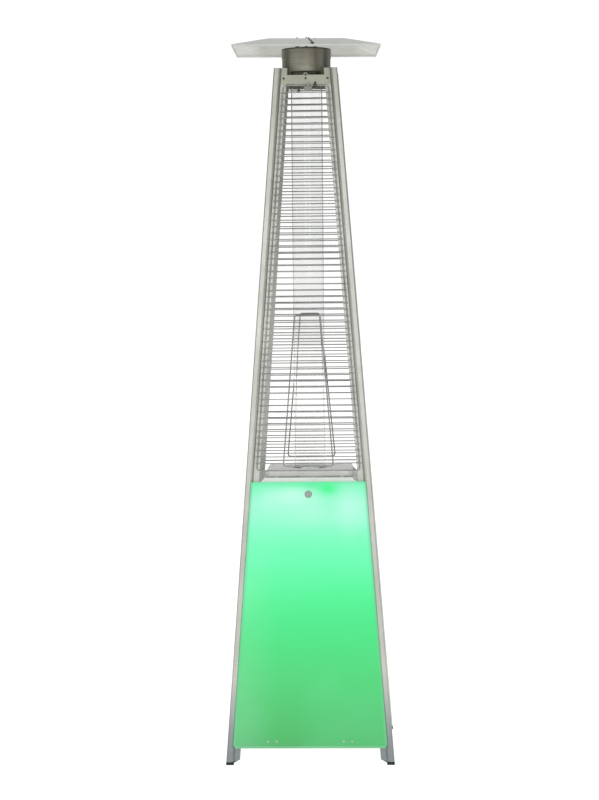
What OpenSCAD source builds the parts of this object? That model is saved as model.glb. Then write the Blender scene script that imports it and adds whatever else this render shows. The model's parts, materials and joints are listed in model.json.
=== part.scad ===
// Pyramid patio heater with a glass flame tube, wire guards and a back-lit cabinet.
// Origin: centre of the footprint on the ground, +Z up, front faces -Y. Millimetres.

/* [Overall] */
// Width and depth of the footprint, outside the posts
base_w = 530; // [500:1:560]
// Width and depth across the tops of the posts
top_w = 200; // [190:1:215]
// Height of the post tops above the ground
post_h = 2186; // [2150:1:2220]

/* [Posts] */
// Width of the flat outer face of a post before it rounds away
nose_flat = 13; // [11:0.5:14]
// Overall width of the box section
nose_w = 24; // [23:0.5:25]
// How far the flange sits behind the outer face
flange_set = 14; // [13.5:0.5:14]
// Distance from the outer corner to the flange edge
flange_w = 42.5; // [41:0.5:44]
// Wall of the post section
post_wall = 2; // [1.6:0.1:2.2]
// Height of the black foot under each post
foot_h = 5; // [4:0.5:8]

/* [Cabinet] */
// Height of the lower edge of the door trim
door_bottom = 52.5; // [50:0.5:54]
// Height of the upper edge of the panels
door_top = 884.5; // [880:0.5:885]
// Gap from a post's outer edge to the edge of a panel
panel_edge = 18.6; // [18.5:0.1:20]
// Thickness of a translucent panel
panel_t = 3; // [2.5:0.5:3]
// How far the side and rear panels sit behind the posts' outer faces
panel_set = 3; // [2.5:0.5:4]
// Height of the middle of the door knob
knob_z = 846; // [843:1:850]
// Diameter of the door knob
knob_d = 23; // [18:1:28]
// Height of the row of hinge screws
hinge_screw_z = 74; // [72:1:76]
// Top surface of the base plate
base_z = 54.3; // [54:0.1:54.6]

/* [Burner deck] */
// Underside of the deck plate
deck_z = 884; // [884:0.5:886]
// Height of the upturned deck flaps above the deck underside
flap_h = 14; // [10:1:16]
// Width and depth of the raised pan
pan_w = 275; // [240:1:280]
// Underside edge of the raised pan
pan_z = 898; // [897:1:900]
// Height of the raised pan
pan_h = 15; // [12:1:18]

/* [Glass tube] */
// Outer diameter of the quartz tube
tube_d = 100; // [98:1:101]
// Length of the quartz tube
tube_len = 1250; // [1245:1:1252]
// Wall of the quartz tube
tube_wall = 2; // [1.5:0.5:3]

/* [Wire guards] */
// Height of the lowest wire of a guard
guard_z0 = 920; // [916:1:924]
// Height of the highest wire of a guard
guard_z1 = 2132; // [2130:1:2133]
// Height of the first cross wire
cross_z0 = 943.1; // [940:0.1:946]
// Spacing of the cross wires
cross_pitch = 20.1; // [19.8:0.1:20.1]
// Number of cross wires
cross_n = 59; // [56:1:59]
// Diameter of a cross wire
cross_d = 3.6; // [3:0.2:4]
// Diameter of the border wire
border_d = 4; // [3.4:0.2:4]
// Distance from the outer post edge to the border wire
border_in = 33; // [31:0.5:35]
// Distance from the outer post edge to the ends of the cross wires
cross_in = 27.5; // [26.5:0.5:30]
// Diameter of the tapered stiffening loop
loop_d = 4.5; // [4:0.5:5]
// Bottom of the stiffening loop
loop_z0 = 931; // [928:1:940]
// Top of the stiffening loop
loop_z1 = 1411; // [1350:1:1450]
// Outside width of the loop at its bottom
loop_w0 = 162; // [140:1:180]
// Outside width of the loop at its top, front and sides
loop_w1 = 84; // [70:1:100]
// Outside width of the loop at its top, rear guard
loop_w1_rear = 72; // [66:1:100]

/* [Head] */
// Bottom of the head brackets
bracket_z0 = 2136; // [2135:1:2138]
// Bottom of the notch in a head bracket
notch_z = 2165; // [2163:1:2167]
// Width of the notch in a head bracket
notch_w = 117; // [100:1:120]
// Diameter of the flue collar
collar_d = 155; // [140:1:156]
// Bottom of the flue collar
collar_z0 = 2179; // [2176:1:2182]
// Joint between the flue collar and its top band
collar_z1 = 2224; // [2215:1:2230]
// Top of the band
collar_z2 = 2253; // [2248:1:2255]

/* [Reflector] */
// Width and depth of the reflector
hood_w = 462; // [440:1:480]
// Width and depth of the flat top of the reflector
hood_flat = 238; // [220:1:260]
// Height of the flat top of the reflector
hood_z = 2279.5; // [2278:0.5:2284]
// Height of the lower edge of the reflector
rim_z = 2246; // [2244:0.5:2248]
// Height of the vertical hem around the reflector
hem_h = 6; // [4:0.5:8]
// Sheet thickness of the reflector
hood_t = 1.2; // [1:0.1:1.5]
// Forward lean of the reflector on its studs, degrees
hood_lean = 1.9; // [0:0.1:2.5]
// Sideways lean of the reflector on its studs, degrees
hood_tip = 0.35; // [0:0.05:0.5]
// Turn of the reflector about the vertical, degrees
hood_turn = 1.6; // [0:0.1:2]

/* [Hidden] */
$fn = 48;
hb = base_w / 2;
t = (base_w - top_w) / 2 / post_h;
lean = atan(t);
cl = cos(lean);
// half width of the frame at height z
function hp(z) = hb - t * z;
// distance along a leaning face for height z
function S(z) = z / cl;
// half width at distance s along a face
function W(s) = hb - t * s * cl;
pivot_v = 5.2;
pivot_s = S(55.4);
hinge_y = -hb + pivot_v * cl + pivot_s * sin(lean);
hinge_z = -pivot_v * sin(lean) + pivot_s * cl;
hinge_x = 118.25;
ctl_y = -155;
ctl_z = 818;

function arc(cx, cy, rx, ry, a0, a1, n) =
  [for (i = [0:n]) let (a = a0 + (a1 - a0) * i / n) [cx + rx * cos(a), cy + ry * sin(a)]];
function both(h) = concat(h, [for (i = [len(h) - 1:-1:1]) [h[i][1], h[i][0]]]);

// children in the plane of face k: x across, y inward from the outer face, z up along the lean
module face(k) {
  rotate([0, 0, 90 * k]) translate([0, -hb, 0]) rotate([-lean, 0, 0]) children();
}
// a flat plate in a face, from depth v over thickness th
module plate(pts, v, th) {
  translate([0, v + th, 0]) rotate([90, 0, 0]) linear_extrude(th) polygon(pts);
}
// a trapezium that follows the taper, inset from the outer edges
function taper(s0, s1, e) = [[-(W(s0) - e), s0], [W(s0) - e, s0], [W(s1) - e, s1], [-(W(s1) - e), s1]];
// a rod along the inward direction of a face
module vrod(x, s, v0, v1, r) {
  translate([x, v1, s]) rotate([90, 0, 0]) cylinder(r = r, h = v1 - v0);
}

// ---------- posts and feet ----------
nose_half = concat(arc(3, 3, 3, 3, 225, 270, 3),
  arc(nose_flat, flange_set, nose_w - nose_flat, flange_set, -90, 0, 8),
  [[flange_w, flange_set], [flange_w, flange_set + post_wall], [nose_w + 0.5, flange_set + post_wall]]);
void_half = concat([[post_wall, post_wall]],
  arc(nose_flat, flange_set, nose_w - nose_flat - post_wall, flange_set - post_wall, -90, -4, 6));

module slab(z0, z1) { translate([-400, -400, z0]) cube([800, 800, z1 - z0]); }

module leaning(h0, h1) {
  translate([-hb, -hb, 0]) rotate(a = atan(sqrt(2) * t), v = [-1, 1, 0])
    translate([0, 0, h0]) linear_extrude(h1 - h0) children();
}
module post_fl() {
  difference() {
    intersection() {
      leaning(-20, post_h + 40) difference() { polygon(both(nose_half)); polygon(both(void_half)); }
      slab(foot_h, post_h);
    }
    // the flange ends are cut back at a slant above the foot
    for (m = [0, 1]) mirror([m, -m, 0])
      translate([-hb + nose_w + 0.8, -hb + 30, foot_h - 1]) rotate([90, 0, 0])
        linear_extrude(26) polygon([[0, 0], [26, 0], [26, 13.5]]);
    // clearance holes for the head bracket screws
    for (m = [0, 1]) mirror([m, -m, 0]) face(0) vrod(-69.5, screw_s, flange_set - 1.5, flange_set + 4, 2.2);
  }
}
module foot_fl() {
  translate([-hb, -hb, 0]) linear_extrude(foot_h)
    polygon(both(concat(arc(4, 4, 4, 4, 225, 270, 4), [[nose_w - 1, 0], [nose_w + 0.6, 3], [nose_w + 0.6, 14]])));
  intersection() {
    leaning(-20, 60) polygon(both(concat([[post_wall + 0.2, post_wall + 0.2]],
      arc(nose_flat, flange_set, nose_w - nose_flat - post_wall - 0.2, flange_set - post_wall - 0.2, -90, -6, 6))));
    slab(foot_h - 1, 22);
  }
}
module post_front_left() color([0.78, 0.79, 0.78]) post_fl();
module post_front_right() color([0.78, 0.79, 0.78]) mirror([1, 0, 0]) post_fl();
module post_rear_left() color([0.78, 0.79, 0.78]) mirror([0, 1, 0]) post_fl();
module post_rear_right() color([0.78, 0.79, 0.78]) rotate([0, 0, 180]) post_fl();
module feet() color([0.05, 0.05, 0.05]) {
  foot_fl();
  mirror([1, 0, 0]) foot_fl();
  mirror([0, 1, 0]) foot_fl();
  rotate([0, 0, 180]) foot_fl();
}

// ---------- base ----------
function cut_square(h, c) = [[-h + c, -h], [h - c, -h], [h, -h + c], [h, h - c], [h - c, h], [-h + c, h], [-h, h - c], [-h, -h + c]];
bh = hp(base_z) - flange_set - post_wall - 0.2;
module base_plate() color([0.62, 0.63, 0.63]) difference() {
  translate([0, 0, base_z - 5.2]) linear_extrude(5.2) polygon(cut_square(bh, 12));
  translate([0, 0, base_z - 6]) linear_extrude(4.5) polygon(cut_square(bh - 1.5, 12));
  for (a = [0:45:315]) rotate([0, 0, a]) translate([185, 0, base_z - 3]) cylinder(r = 9, h = 6);
}

// ---------- door hinges ----------
module knuckle(x0, len, y, z) {
  translate([x0, y, z]) rotate([0, 90, 0]) cylinder(r = 2.8, h = len);
}
module pin_hole(x0, len, y, z) {
  translate([x0 - 1, y, z]) rotate([0, 90, 0]) cylinder(r = 1.55, h = len + 2);
}
module fixed_hinge_leaves() color([0.7, 0.7, 0.7]) for (sx = [-1, 1]) translate([sx * hinge_x, 0, 0]) difference() {
  union() {
    for (x = [-20.25, 8.75]) {
      knuckle(x, 11.5, hinge_y, hinge_z);
      translate([x, hinge_y, base_z]) cube([11.5, 14, 1.4]);
    }
    translate([-20.25, hinge_y + 12, base_z]) cube([40.5, 30, 1.4]);
  }
  pin_hole(-20.25, 40.5, hinge_y, hinge_z);
}
module hinge_pins() color([0.75, 0.75, 0.75]) for (sx = [-1, 1])
  translate([sx * hinge_x - 21, hinge_y, hinge_z]) rotate([0, 90, 0]) cylinder(r = 1.5, h = 42);

// ---------- cabinet panels ----------
// the lower corners of the door are cut back so that they clear the posts as it swings down
module panel_blank() {
  plate(taper(S(59.9), S(door_top), panel_edge), -panel_t / 2, panel_t);
  plate(taper(S(door_bottom + 4), S(60.5), panel_edge + 4.4), -panel_t / 2, panel_t);
}
bracket_s = [S(110), S(840)];
module panel_fixed(k) color([0.45, 0.95, 0.62]) face(k) difference() {
  plate(taper(S(door_bottom), S(door_top - 1), panel_edge + 4.4), panel_set, panel_t);
  for (s = bracket_s, m = [-1, 1]) vrod(m * (W(s) - 34), s, 0, 9, 2.2);
}
module right_panel() panel_fixed(1);
module rear_panel() panel_fixed(2);
module left_panel() panel_fixed(3);
module panel_brackets() color([0.6, 0.6, 0.6]) for (k = [1, 2, 3]) face(k) for (s = bracket_s, m = [-1, 1])
  translate([m * (W(s) - 34), 0, s]) difference() {
    translate([-6.5, panel_set + panel_t, -15]) cube([13, flange_set - panel_set - panel_t, 30]);
    translate([-5, panel_set + panel_t + 1.5, -16]) cube([10, flange_set - panel_set - panel_t - 3, 32]);
    vrod(0, 0, -2, 9, 2.2);
  }
module pan_head(x, s, v, shank) {
  vrod(x, s, v - 1.6, v, 3.4);
  vrod(x, s, v, v + shank, 2);
}
module panel_screws() color([0.7, 0.7, 0.7]) for (k = [1, 2, 3]) face(k) for (s = bracket_s, m = [-1, 1])
  pan_head(m * (W(s) - 34), s, panel_set, 8);

// ---------- burner deck ----------
dh = hp(deck_z + 2) - flange_set - post_wall - 0.3;
module deck_plate() color([0.72, 0.72, 0.7]) difference() {
  union() {
    translate([0, 0, deck_z]) linear_extrude(2) polygon(cut_square(dh, 13));
    for (k = [0:3]) {
      face(k) plate([[-151, S(deck_z)], [151, S(deck_z)], [151 - flap_h, S(deck_z + flap_h)], [-151 + flap_h, S(deck_z + flap_h)]], 4, 1.5);
      rotate([0, 0, 90 * k]) translate([-151, -hp(deck_z) + 4.8, deck_z]) cube([302, 20, 2]);
    }
  }
  translate([0, 0, deck_z - 5]) cylinder(r = 47, h = 12);
  for (a = [0:30:330]) rotate([0, 0, a]) translate([75, 0, deck_z - 2]) cylinder(r = 6, h = 8);
}
module rounded_square(w, r) {
  square([w - 2 * r, w], center = true);
  square([w, w - 2 * r], center = true);
  for (x = [-1, 1], y = [-1, 1]) translate([x * (w / 2 - r), y * (w / 2 - r)]) circle(r);
}
module burner_pan() color([0.6, 0.61, 0.6]) {
  // welded feet lift the pan off the deck
  for (x = [-1, 1], y = [-1, 1]) translate([x * 105, y * 105, deck_z + 2]) cylinder(r = 6, h = pan_z + pan_h - 1 - deck_z - 2);
  difference() {
    union() {
      difference() {
        union() {
          translate([0, 0, pan_z]) linear_extrude(pan_h - 4) rounded_square(pan_w, 16);
          translate([0, 0, pan_z + 2]) linear_extrude(pan_h - 2) rounded_square(pan_w - 6, 14);
        }
        translate([0, 0, pan_z - 1]) linear_extrude(pan_h - 0.5) rounded_square(pan_w - 9, 13);
      }
      // the well that holds the tube seat
      translate([0, 0, seat_z - 1.5]) cylinder(r = 58.7, h = 10.6, $fn = 96);
    }
    translate([0, 0, seat_z]) cylinder(r = 57.2, h = 20, $fn = 96);
    translate([0, 0, seat_z - 10]) cylinder(r = 45, h = 40);
  }
}
seat_z = pan_z + pan_h - 10;
module tube_seat() color([0.85, 0.84, 0.8]) translate([0, 0, seat_z]) rotate_extrude($fn = 96)
  polygon([[45, 0], [57, 0], [57, 9.6], [tube_d / 2 + 0.4, 9.6], [tube_d / 2 + 0.4, 2], [45, 2]]);
tube_z = seat_z + 2;
module quartz_tube() color([0.9, 0.95, 0.98, 0.35]) translate([0, 0, tube_z]) difference() {
  cylinder(d = tube_d, h = tube_len, $fn = 96);
  translate([0, 0, -1]) cylinder(r = tube_d / 2 - tube_wall, h = tube_len + 2, $fn = 96);
}

// ---------- burner and gas train ----------
module main_burner() color([0.6, 0.6, 0.58]) difference() {
  rotate_extrude($fn = 72) polygon([[8, 846], [11, 846], [11, 868], [31, 882], [60, 882], [60, 884], [33, 884], [33, 908], [30, 911], [0, 911], [0, 908.5], [30, 908.5], [30, 885], [8, 869]]);
  for (r = [8, 16, 24], a = [0:60:300]) rotate([0, 0, a + r * 3]) translate([r, 0, 903]) cylinder(r = 1.6, h = 12);
  rotate([0, 0, 180]) translate([40, 0, 880]) cylinder(r = 4.6, h = 8);
  for (a = [155, 205]) rotate([0, 0, a]) translate([40, 0, 880]) cylinder(r = 2.8, h = 8);
}
module pilot_burner() color([0.72, 0.62, 0.35]) translate([-40, 0, 848]) {
  cylinder(r = 4, h = 62);
  translate([0, 0, 62]) difference() { cylinder(r = 4, h = 6); translate([0, -5, 2]) cube([10, 10, 3]); }
  translate([0, 0, -8]) cylinder(r = 6, h = 8, $fn = 6);
}
module igniter_electrode() color([0.92, 0.9, 0.86]) rotate([0, 0, 155]) translate([40, 0, 846]) {
  cylinder(r = 2.5, h = 56);
  translate([0, 0, 56]) cylinder(r = 0.9, h = 14);
}
module thermocouple() color([0.72, 0.45, 0.3]) rotate([0, 0, 205]) translate([40, 0, 844]) {
  cylinder(r = 2.5, h = 40);
  translate([0, 0, 40]) cylinder(r = 1.8, h = 30);
}
module gas_valve() color([0.66, 0.66, 0.66]) difference() {
  union() {
    translate([-24, ctl_y + 4, ctl_z - 22]) cube([48, 40, 44]);
    translate([0, ctl_y + 1.5, ctl_z]) rotate([-90, 0, 0]) cylinder(r = 11, h = 6);
    translate([-14, ctl_y + 40, ctl_z - 12]) cube([28, 12, 24]);
  }
  translate([0, ctl_y - 5, ctl_z]) rotate([-90, 0, 0]) cylinder(r = 4.05, h = 30);
}
module main_gas_pipe() color([0.75, 0.6, 0.3]) {
  translate([0, ctl_y + 52, ctl_z]) rotate([-90, 0, 0]) cylinder(r = 4, h = -20 - (ctl_y + 52));
  translate([0, ctl_y + 52, ctl_z]) rotate([-90, 0, 0]) cylinder(r = 7.5, h = 10, $fn = 6);
  translate([0, -20, ctl_z + 20]) rotate([0, 90, 0]) rotate_extrude(angle = 90) translate([20, 0]) circle(4);
  translate([0, 0, ctl_z + 20]) cylinder(r = 4, h = 14);
  translate([0, 0, 837]) cylinder(r = 7.5, h = 9, $fn = 6);
}
module inlet_fitting() color([0.78, 0.65, 0.35]) translate([0, ctl_y + 24, ctl_z - 22]) mirror([0, 0, 1]) {
  cylinder(r = 10, h = 8, $fn = 6);
  cylinder(r = 6.5, h = 24);
}
module control_plate() color([0.66, 0.67, 0.67]) difference() {
  union() {
    translate([-130, ctl_y, ctl_z - 42]) cube([260, 1.5, deck_z - ctl_z + 42]);
    translate([-130, ctl_y, deck_z - 1.5]) cube([260, 18, 1.5]);
  }
  translate([0, ctl_y - 1, ctl_z]) rotate([-90, 0, 0]) cylinder(r = 11.3, h = 4);
  translate([75, ctl_y - 1, ctl_z]) rotate([-90, 0, 0]) cylinder(r = 11.2, h = 4);
  translate([-75 - 14.8, ctl_y - 1, ctl_z - 11.8]) cube([29.6, 4, 23.6]);
}
module valve_spindle() color([0.7, 0.7, 0.72]) translate([0, ctl_y - 22, ctl_z]) rotate([-90, 0, 0]) cylinder(r = 4, h = 38);
module control_knob() color([0.08, 0.08, 0.08]) translate([0, ctl_y - 6, ctl_z]) rotate([90, 0, 0]) difference() {
  union() {
    cylinder(r = 23, h = 4);
    cylinder(r = 18, h = 12);
    translate([-5, -21, 3]) cube([10, 42, 15]);
  }
  translate([0, 0, -1]) cylinder(r = 4.05, h = 17.2);
  translate([-0.8, 12, 17]) cube([1.6, 8, 3]);
}
module igniter_body() color([0.12, 0.12, 0.12]) translate([75, ctl_y, ctl_z]) rotate([90, 0, 0]) difference() {
  union() {
    cylinder(r = 14, h = 3);
    translate([0, 0, -46]) cylinder(r = 11, h = 47);
    translate([0, 0, -6.5]) cylinder(r = 14.5, h = 5, $fn = 6);
    translate([0, 0, -52]) cylinder(r = 3, h = 7);
  }
  translate([0, 0, -26]) cylinder(r = 8.7, h = 40);
}
module igniter_button() color([0.75, 0.1, 0.08]) translate([75, ctl_y - 11, ctl_z]) rotate([-90, 0, 0]) {
  cylinder(r = 7.4, h = 2);
  translate([0, 0, 1]) cylinder(r = 8.4, h = 20);
}
module led_switch_case() color([0.1, 0.1, 0.1]) translate([-75, ctl_y, ctl_z]) difference() {
  union() {
    translate([-18, -2, -15]) cube([36, 2, 30]);
    translate([-14.5, -0.5, -11.5]) cube([29, 24, 23]);
  }
  translate([-12.8, -3, -10.2]) cube([25.6, 18, 20.4]);
  translate([-14, 0, 0]) rotate([0, 90, 0]) cylinder(r = 1.56, h = 28);
}
module led_rocker() color([0.5, 0.06, 0.05]) translate([-75, ctl_y, ctl_z]) rotate([-7, 0, 0]) {
  // axle stubs
  translate([-13.8, 0, 0]) rotate([0, 90, 0]) cylinder(r = 1.5, h = 27.6);
  translate([-12.3, 0, 0]) rotate([90, 0, 90]) linear_extrude(24.6)
    polygon([[-7, 0], [-8, -8.3], [6, -7], [6, 7], [-8, 8.3]]);
}
module led_driver() color([0.13, 0.13, 0.14]) difference() {
  union() {
    translate([60, 40, deck_z - 32]) cube([90, 62, 30]);
    translate([52, 56, deck_z - 2]) cube([106, 30, 2]);
  }
  for (i = [0:5]) translate([72 + i * 12, 39, deck_z - 26]) cube([4, 1.6, 18]);
}
module tilt_switch() color([0.16, 0.16, 0.17]) {
  translate([-140, 44, deck_z - 28]) cube([38, 30, 28]);
  translate([-121, 59, deck_z - 34]) cylinder(r = 8, h = 7);
}
led_v = 30;
module led_bars() color([0.82, 0.82, 0.82]) for (k = [0:3]) face(k)
  translate([-155, led_v, S(deck_z - 26)]) difference() {
    cube([310, 10, S(23)]);
    translate([-1, 1.5, 1.5]) cube([312, 10, S(20)]);
  }
module led_modules() color([0.85, 1, 0.9]) for (k = [0:3]) face(k) for (x = [-140, -58, 58, 140])
  translate([x - 16, led_v - 3, S(deck_z - 22)]) cube([32, 3, 14]);

// ---------- wire guards ----------
function unit(a) = a / norm(a);
// a rod in the XY plane from p to q, run on by e at both ends
module flat_rod(p, q, r, e) {
  u = unit(q - p);
  translate([p[0] - u[0] * e, p[1] - u[1] * e, 0]) rotate([0, 0, atan2(u[1], u[0])])
    rotate([0, 90, 0]) cylinder(r = r, h = norm(q - p) + 2 * e, $fn = 24);
}
// a closed loop of wire through the points P, with its corners bent across a cut of length R
module closed_wire(P, R, r) {
  n = len(P);
  for (i = [0:n - 1]) {
    a = P[(i + n - 1) % n]; c = P[i]; b = P[(i + 1) % n];
    flat_rod(c + unit(a - c) * R, c + unit(b - c) * R, r + 0.12, r * 0.45);
    flat_rod(c + unit(b - c) * R, b + unit(c - b) * R, r, r * 0.3);
  }
}
cross_v = 9;
module guard(k, w1) color([0.66, 0.67, 0.66]) face(k) {
  translate([0, cross_v + 2.7, 0]) rotate([90, 0, 0])
    closed_wire(taper(S(guard_z0), S(guard_z1), border_in), 7, border_d / 2);
  for (i = [0:cross_n - 1]) {
    s = S(cross_z0 + i * cross_pitch);
    if (s < S(guard_z1) - 5)
      translate([-(W(s) - cross_in), cross_v, s]) rotate([0, 90, 0]) cylinder(d = cross_d, h = 2 * (W(s) - cross_in), $fn = 24);
  }
  l0 = S(loop_z0) + loop_d / 2; l1 = S(loop_z1) - loop_d / 2;
  h0 = (loop_w0 - loop_d) / 2; h1 = (w1 - loop_d) / 2;
  translate([0, cross_v + 3.4, 0]) rotate([90, 0, 0])
    closed_wire([[-h0, l0], [h0, l0], [h1, l1], [-h1, l1]], 6, loop_d / 2);
}
module guard_front() guard(0, loop_w1);
module guard_right() guard(1, loop_w1);
module guard_rear() guard(2, loop_w1_rear);
module guard_left() guard(3, loop_w1);

clip_x = 8;
module guard_clips() color([0.45, 0.46, 0.43]) for (k = [0, 1, 3]) face(k) {
  translate([clip_x - 12, 2.6, S(2112)]) cube([24, 4.2, 15.5]);
  for (i = [0:3]) translate([clip_x - 12, 1.8, S(2112) + 0.6 + i * 4.1]) cube([24, 1.2, 1.8]);
  translate([clip_x - 3, 3.6, S(2112) + 14]) cube([6, 2.2, 15.5]);
  translate([clip_x - 3, 3.6, S(2138)]) cube([6, 8.3, 3]);
}
module thumb_screws() color([0.18, 0.18, 0.18]) for (k = [0:3]) face(k) {
  vrod(30, S(2140), 6, 18, 2.5);
  vrod(30, S(2140), 7, 11.9, 5.5);
  translate([28.8, 4, S(2124)]) cube([2.4, 5.3, 17]);
}

// ---------- head ----------
bs0 = S(bracket_z0);
bs1 = S(post_h - 1);
screw_s = S(2154);
module head_bracket(k) color([0.63, 0.64, 0.58]) face(k) difference() {
  union() {
    difference() {
      plate(taper(bs0, bs1, nose_w + 0.8), flange_set - 2, 2);
      plate([[-notch_w / 2, S(notch_z)], [notch_w / 2, S(notch_z)], [notch_w / 2, bs1 + 5], [-notch_w / 2, bs1 + 5]], flange_set - 3, 4);
    }
    vrod(0, S(notch_z) + 1, flange_set - 2, flange_set, 6.5);
  }
  for (x = [-1, 1]) vrod(x * 69.5, screw_s, flange_set - 3, flange_set + 1, 2.2);
  for (s = [screw_s, S(notch_z) + 1]) vrod(0, s, flange_set - 3, flange_set + 1, 2.2);
  vrod(30, S(2140), flange_set - 3, flange_set + 1, 2.7);
}
module bracket_front() head_bracket(0);
module bracket_right() head_bracket(1);
module bracket_rear() head_bracket(2);
module bracket_left() head_bracket(3);
module bracket_screws() color([0.25, 0.25, 0.24]) for (k = [0:3]) face(k) {
  for (x = [-1, 0, 1]) pan_head(x * 69.5, screw_s, flange_set - 2, 3.5);
  pan_head(0, S(notch_z) + 1, flange_set - 2, 1.9);
}
th = hp(notch_z) - flange_set - 0.6;
module top_plate() color([0.5, 0.5, 0.46]) difference() {
  union() {
    translate([0, 0, notch_z - 2]) linear_extrude(2) difference() {
      polygon(cut_square(th - 1.9, 17));
      circle(r = tube_d / 2 + 1.5, $fn = 96);
    }
    for (k = [0:3]) rotate([0, 0, 90 * k]) {
      translate([-56, -th, notch_z - 16]) cube([112, 1.5, 16]);
      translate([-56, -th, notch_z - 2]) cube([112, 6, 2]);
    }
  }
  for (k = [0:3]) rotate([0, 0, 90 * k]) translate([0, -th - 3, 2154]) rotate([-90, 0, 0]) cylinder(r = 2.8, h = 6);
}
cr = collar_d / 2;
module flue_collar() color([0.55, 0.55, 0.5]) {
  difference() {
    translate([0, 0, collar_z0]) cylinder(r = cr, h = collar_z1 + 6 - collar_z0, $fn = 96);
    translate([0, 0, collar_z0 - 1]) cylinder(r = cr - 1.5, h = 80, $fn = 96);
  }
  intersection() {
    difference() {
      translate([0, 0, notch_z]) cylinder(r = cr, h = collar_z0 - notch_z, $fn = 96);
      translate([0, 0, notch_z - 1]) cylinder(r = cr - 1.5, h = 80, $fn = 96);
    }
    for (a = [45, 135]) rotate([0, 0, a]) translate([-100, -8, notch_z - 1]) cube([200, 16, 30]);
  }
}
module collar_band() color([0.5, 0.49, 0.42]) translate([0, 0, collar_z1]) rotate_extrude($fn = 96)
  polygon([[cr + 0.15, 0], [cr + 1.4, 0], [cr + 1.4, collar_z2 - collar_z1 - 1.5], [cr + 0.4, collar_z2 - collar_z1],
    [cr - 2, collar_z2 - collar_z1], [cr - 2, collar_z2 - collar_z1 - 1.2], [cr + 0.15, collar_z2 - collar_z1 - 1.2]]);
stud_r = 33;
stud_a = [90, 210, 330];
spider_z = 2244;
module hood_spider() color([0.45, 0.45, 0.43]) difference() {
  union() {
    for (a = stud_a) rotate([0, 0, a]) {
      translate([0, -8, spider_z]) cube([cr - 0.2, 16, 2]);
      translate([cr - 1.7, -8, spider_z - 12]) cube([1.5, 16, 13]);
    }
    translate([0, 0, spider_z]) cylinder(r = 14, h = 2);
  }
  for (a = stud_a) rotate([0, 0, a]) translate([stud_r, 0, spider_z - 5]) cylinder(r = 3.1, h = 12);
  translate([0, 0, spider_z - 20]) difference() { cylinder(r = 100, h = 40); translate([0, 0, -1]) cylinder(r = cr - 0.25, h = 42, $fn = 96); }
}
function hood_rise(a) = stud_r * sin(a) * sin(hood_lean) - stud_r * cos(a) * sin(hood_tip);
module hood_studs() color([0.5, 0.5, 0.5]) for (a = stud_a) rotate([0, 0, a]) translate([stud_r, 0, 0]) {
  translate([0, 0, spider_z - 8]) cylinder(r = 3, h = 2297 - spider_z + 8 - (a == 90 ? 0 : a == 210 ? 7 : 9));
  translate([0, 0, spider_z - 6]) cylinder(r = 5.5, h = 6, $fn = 6);
  translate([0, 0, spider_z + 2]) cylinder(r = 6, h = hood_z - hood_t - 0.4 - spider_z - 2 + hood_rise(a));
}
hh = hood_w / 2;
slope = atan((hood_z - rim_z - hem_h) / (hh - hood_flat / 2));
module frustum(dz, din) {
  intersection() {
    translate([-hh + din, -hh + din, rim_z - 5]) cube([2 * hh - 2 * din, 2 * hh - 2 * din, hood_z - rim_z + 5 - dz]);
    for (k = [0, 1]) rotate([0, 0, 90 * k]) intersection() {
      translate([0, -hh, rim_z + hem_h - dz / cos(slope)]) rotate([slope, 0, 0]) translate([-500, -500, -500]) cube([1000, 1500, 500]);
      mirror([0, 1, 0]) translate([0, -hh, rim_z + hem_h - dz / cos(slope)]) rotate([slope, 0, 0]) translate([-500, -500, -500]) cube([1000, 1500, 500]);
    }
  }
}
module leaned() { translate([0, 0, 2263]) rotate([hood_lean, hood_tip, hood_turn]) translate([0, 0, -2263]) children(); }
module reflector_hood() color([0.8, 0.81, 0.8]) difference() {
  leaned() difference() {
    intersection() { frustum(0, 0); slab(rim_z, hood_z + 5); }
    frustum(hood_t, hood_t);
  }
  for (a = stud_a) rotate([0, 0, a]) translate([stud_r, 0, 2270]) cylinder(r = 3.4, h = 20);
}
module wing_nuts() color([0.55, 0.55, 0.55]) for (a = stud_a) rotate([0, 0, a]) translate([stud_r, 0, 0]) {
  nz = hood_z + hood_rise(a) + 0.45;
  difference() {
    union() {
      translate([0, 0, nz]) cylinder(r = 5.5, h = 5);
      rotate([0, 0, -a]) for (m = [-1, 1]) translate([m * 8 - 4.5, -1, nz + 1]) cube([9, 2, 6]);
    }
    translate([0, 0, nz - 1]) cylinder(r = 3.05, h = 20);
  }
}

// ---------- door ----------
module catch_magnet() color([0.15, 0.15, 0.15]) translate([-22, -hp(deck_z - 10) + 13.4, deck_z - 16]) cube([44, 12, 16]);
rail_s0 = S(836);
rail_s1 = S(878);
module door_panel() color([0.45, 0.95, 0.62]) face(0) difference() {
  panel_blank();
  for (x = [-1, 1] * hinge_x, d = [-13.25, 13.25]) vrod(x + d, S(hinge_screw_z), -5, 5, 2.2);
  vrod(0, S(knob_z), -5, 5, 2.6);
}
module door_bottom_trim() color([0.5, 0.62, 0.54]) face(0) difference() {
  plate(taper(S(door_bottom), S(door_bottom) + 7.5, panel_edge + 5.2), -panel_t / 2 - 0.8, panel_t + 1.6);
  plate(taper(S(door_bottom + 4), S(door_bottom) + 10, 10), -panel_t / 2, panel_t);
  plate(taper(S(door_bottom + 2.6), S(door_bottom) + 10, 10), panel_t / 2 - 0.1, 3);
}
module door_top_rail() color([0.62, 0.63, 0.63]) face(0) difference() {
  plate(taper(rail_s0, rail_s1, 32), panel_t / 2, 10.5);
  plate([[-400, rail_s0 + 1.2], [400, rail_s0 + 1.2], [400, rail_s1 - 1.2], [-400, rail_s1 - 1.2]], panel_t / 2 + 1.2, 8.1);
  vrod(0, S(knob_z), -5, 5, 2.6);
}
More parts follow.
